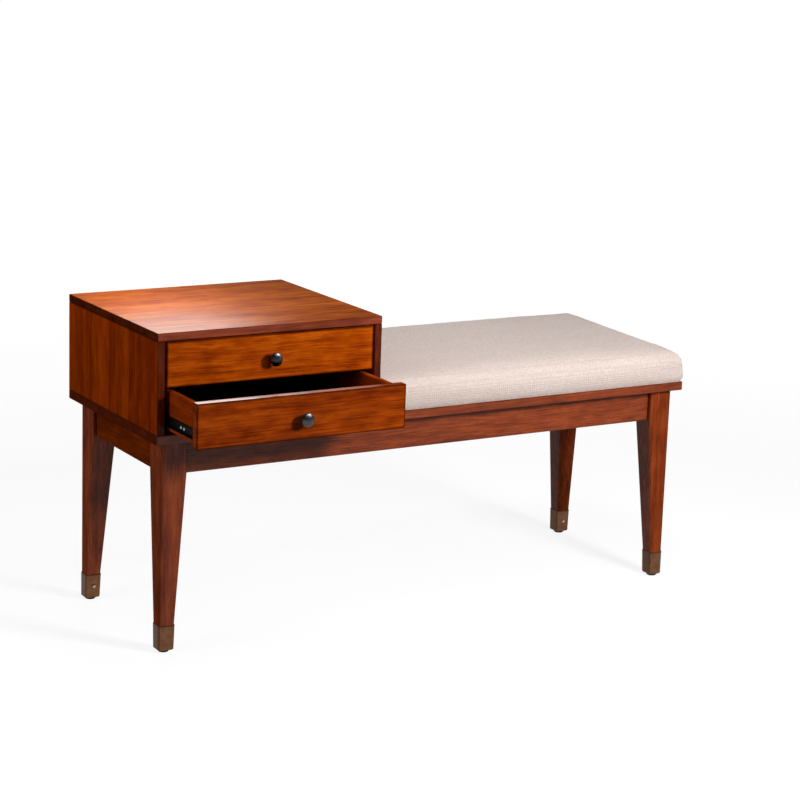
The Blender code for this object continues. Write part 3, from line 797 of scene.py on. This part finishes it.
def swell(piece):
    """Blow the pad up with cloth pressure, then hold every point within the cap."""
    rest = [point.co.copy() for point in piece.data.vertices]
    pinned = [i for i, point in enumerate(rest) if point.z < seat_low.z + pinned_rise]
    staples = piece.vertex_groups.new(name="staples")
    staples.add(pinned, 1.0, "REPLACE")
    cloth = piece.modifiers.new("fabric", "CLOTH")
    cloth.settings.quality = 5
    cloth.settings.mass = 0.3
    cloth.settings.tension_stiffness = 25
    cloth.settings.compression_stiffness = 25
    cloth.settings.bending_stiffness = 2.0
    cloth.settings.use_pressure = True
    cloth.settings.uniform_pressure_force = 0.8
    cloth.settings.vertex_group_mass = staples.name
    cloth.settings.effector_weights.gravity = 0.0
    cloth.collision_settings.use_collision = False
    cloth.point_cache.frame_end = swell_frames
    for number in range(1, swell_frames + 1):
        bpy.context.scene.frame_set(number)
    select_only(piece)
    bpy.ops.object.modifier_apply(modifier=cloth.name)
    bpy.context.scene.frame_set(1)
    longest = 0.0
    for point, start in zip(piece.data.vertices, rest):
        move = point.co - start
        longest = max(longest, move.length)
        if move.length > swell_cap:
            point.co = start + move.normalized() * swell_cap
    print("longest move before the cap:", round(longest, 4))
    heights = [point.co.z for point in piece.data.vertices]
    print("seat rises to", round(max(heights) - seat_low.z, 4))


swell(seat)

# %% Smooth the seat and close its bottom
smooth = seat.modifiers.new("smooth", "SUBSURF")
smooth.levels = 1
smooth.render_levels = 1
select_only(seat)
bpy.ops.object.modifier_apply(modifier=smooth.name)
bpy.ops.object.shade_smooth()
bpy.ops.object.mode_set(mode="EDIT")
bpy.ops.mesh.select_mode(type="EDGE")
bpy.ops.mesh.select_all(action="DESELECT")
bpy.ops.mesh.select_non_manifold()
bpy.ops.mesh.edge_face_add()
bpy.ops.object.mode_set(mode="OBJECT")
print("seat faces:", len(seat.data.polygons))

# %% [markdown]
# ## Linen for the seat
#
# The cover is a plain oatmeal weave. Threads a little over two millimetres apart give the bump;
# each thread thickens and thins, so noise drawn out along X, Y and Z tints it. Reading Object
# coordinates along all three axes keeps the weave square on the top and on every side.

# %% The weave
thread_pitch = 0.0023
slub_size = (0.020, 0.0014)
fleck_size = 0.0036
linen_range = (0.33, 0.65)
linen_light = (0.715, 0.603, 0.555)
linen_dark = (0.502, 0.410, 0.367)
weave_height = 0.0004


def linen_finish():
    material, shader, place = new_finish("oatmeal_linen", Roughness=0.92, Specular_IOR_Level=0.0,
                                         Sheen_Weight=0.15, Sheen_Roughness=0.5)
    waves = []
    slubs = []
    for axis in "XYZ":
        waves.append(place.math("SINE", axis_of(place, axis) * (math.pi / thread_pitch)))
        slubs.append(noise(place, grain_sizes(axis.lower(), *slub_size), 2.0, 1.7))
    weave = waves[0] * waves[1] + waves[1] * waves[2] + waves[2] * waves[0]
    slub = (slubs[0] + slubs[1] + slubs[2]) * (1 / 3)
    flecks = noise(place, (fleck_size,) * 3, 2.0, 4.4)
    tone = slub * 0.5 + flecks * 0.5 + weave * 0.08
    shade = step_between(tone, *linen_range)
    blend_colours(shade, shade_of(linen_dark), shade_of(linen_light)).feed(shader, "Base Color")
    raise_surface(weave * 0.5 + slub * 1.5, shader, weave_height, 0.7)
    return material


seat.data.materials.clear()
seat.data.materials.append(linen_finish())
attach(seat, "bench")
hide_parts("seat_cover", "seat_foam")
print("seat covered in", seat.data.materials[0].name)

# %% [markdown]
# ## Studio
#
# A wide white floor fills the picture. Camera, glossy and transmission rays see it near white with
# the bench's shadow on it, while diffuse rays meet a plain pale floor, so it doesn't flood the wood
# with light. The key lamp stands in front on the right, where the knobs' shadows point back to. One
# lamp overhead lights the seat, a large weak one fills in from the left, and a small one hangs close
# above the case. Two round lamps behind, one within the other, give the pale gleam on the case top.
# A few lamps show in metal and lacquer alone, so the others can be kept from showing as white
# patches in the lacquer: one gives the knobs their highlight, and three slim ones before the upper
# drawer, each shorter than the last, give the drawn-out drawer's top edge a gleam that fades along it.

# %% Floor
floor_size = 120
floor_near = 1.0
floor_far = 3.5
glow_near = 0.86
glow_gain = 0.14
shadow_catch = (0.22, 0.22, 0.22)
floor_pale = (0.25, 0.25, 0.25)

bpy.ops.object.select_all(action="DESELECT")
bpy.ops.mesh.primitive_plane_add(size=floor_size)
floor = bpy.context.object
floor.name = "floor"


def floor_finish():
    """White to the rays that see the floor, and pale to the light that it throws back."""
    material = bpy.data.materials.new("white_floor")
    material.use_nodes = True
    tree = material.node_tree
    tree.nodes.remove(tree.nodes["Principled BSDF"])
    start = Wire(tree)
    seen = []
    for ray in ("Camera", "Glossy", "Transmission"):
        seen.append(start.node("ShaderNodeLightPath", {}, {}, f"Is {ray} Ray"))
    watched = start.math("MINIMUM", seen[0] + seen[1] + seen[2], 1.0)
    place = start.node("ShaderNodeTexCoord", {}, {}, "Object")
    away = start.node("ShaderNodeVectorMath", {"operation": "LENGTH"}, {0: place}, "Value")
    level = step_between(away, floor_near, floor_far) * glow_gain + glow_near
    glow = start.node("ShaderNodeEmission", {}, {"Color": level, "Strength": 1.0})
    matt = start.node("ShaderNodeBsdfDiffuse", {}, {"Color": shade_of(shadow_catch)})
    white = start.node("ShaderNodeAddShader", {}, {0: glow, 1: matt})
    pale = start.node("ShaderNodeBsdfDiffuse", {}, {"Color": shade_of(floor_pale)})
    surface = start.node("ShaderNodeMixShader", {}, {0: watched, 1: pale, 2: white})
    tree.links.new(surface.socket, tree.nodes["Material Output"].inputs["Surface"])
    return material


floor.data.materials.append(floor_finish())
print("floor:", floor_size, "metres wide")


# %% Lamps
def soft_box(name, place, target, size, power, shape="RECTANGLE", mirrored=True, matt=True):
    """A flat lamp aimed at a point, out of the camera's sight.

    Where it isn't mirrored, glossy faces don't show it, and where it isn't matt, matt faces don't.
    """
    lamp = bpy.data.lights.new(name, "AREA")
    lamp.shape = shape
    lamp.size, lamp.size_y = size
    lamp.energy = power
    box = bpy.data.objects.new(name, lamp)
    box.location = place
    box.rotation_euler = (Vector(target) - Vector(place)).to_track_quat("-Z", "Y").to_euler()
    box.visible_camera = False
    box.visible_glossy = mirrored
    box.visible_diffuse = matt
    bpy.context.scene.collection.objects.link(box)


soft_box("key", (0.64, -1.60, 1.20), (-0.15, 0.0, 0.42), (0.42, 0.42), 34.5, mirrored=False)
soft_box("overhead", (-0.02, -0.30, 1.9), (0.0, 0.0, 0.4), (0.4, 0.4), 8.6, mirrored=False)
soft_box("left_top", (-0.50, 0.16, 0.82), (-0.50, 0.16, 0.6), (0.30, 0.28), 1.65, mirrored=False)
soft_box("fill", (-3.2, -0.30, 1.2), (-0.4, 0.0, 0.4), (1.6, 1.6), 31, mirrored=False)
soft_box("glint", (0.42, -0.42, 1.79), (-0.36, -0.25, 0.45), (0.8, 0.8), 64, matt=False)

edge_low, edge_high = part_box("lower_drawer_front")
upper_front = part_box("upper_drawer_front")[0].y
edge_place = Vector((edge_low.x, upper_front, edge_high.z)) + Vector((0.04, -0.008, 0.030))
edge_aim = Vector((0, 0.050, 0.087))
edge_step = 0.002
edge_height = 0.014
edge_lengths = (0.80, 0.50, 0.28)
edge_powers = (0.036, 0.024, 0.030)
for number, (length, power) in enumerate(zip(edge_lengths, edge_powers)):
    place = edge_place - Vector((0, edge_step * number, 0))
    soft_box(f"edge_gleam_{number}", place, place - edge_aim, (length, edge_height), power,
             shape="ELLIPSE", matt=False)

soft_box("gleam", (0.58, 2.45, 1.55), (0.58, 0.0, 1.55), (1.3, 0.84), 7.6, shape="ELLIPSE")
soft_box("gleam_core", (0.62, 2.40, 1.55), (0.62, 0.0, 1.55), (0.9, 0.66), 4.5, shape="ELLIPSE")
print("lamps:", [lamp.name for lamp in bpy.data.lights])

# %% Sky
horizon = 0.05
sky_strength = 0.06
horizon_gain = 0.85

world = bpy.data.worlds.new("studio")
bpy.context.scene.world = world
world.use_nodes = True
sky = Wire(world.node_tree)
background = world.node_tree.nodes["Background"]
direction = sky.node("ShaderNodeTexCoord", {}, {}, "Generated")
brightness = step_between(axis_of(direction, "Z"), horizon, 0.0) * horizon_gain + sky_strength
brightness.feed(background, "Strength")
background.inputs["Color"].default_value = (1, 1, 1, 1)
print("sky:", sky_strength, "brighter below the horizon by", horizon_gain)

# %% [markdown]
# ## Camera
#
# The camera's place, lens and turn were worked out from the bench's straight edges in the picture,
# so the render can be laid over it.

# %% Camera
lens = bpy.data.cameras.new("camera")
lens.lens = 102.046
lens.sensor_width = 36.0
lens.clip_end = 300
camera = bpy.data.objects.new("camera", lens)
camera.location = (-2.23796, -3.71080, 1.41563)
camera.rotation_euler = [math.radians(angle) for angle in (76.8256, -1.9201, -30.5639)]
bpy.context.scene.collection.objects.link(camera)
bpy.context.scene.camera = camera
bpy.context.scene.view_settings.view_transform = "Standard"
print("camera at", [round(v, 3) for v in camera.location])
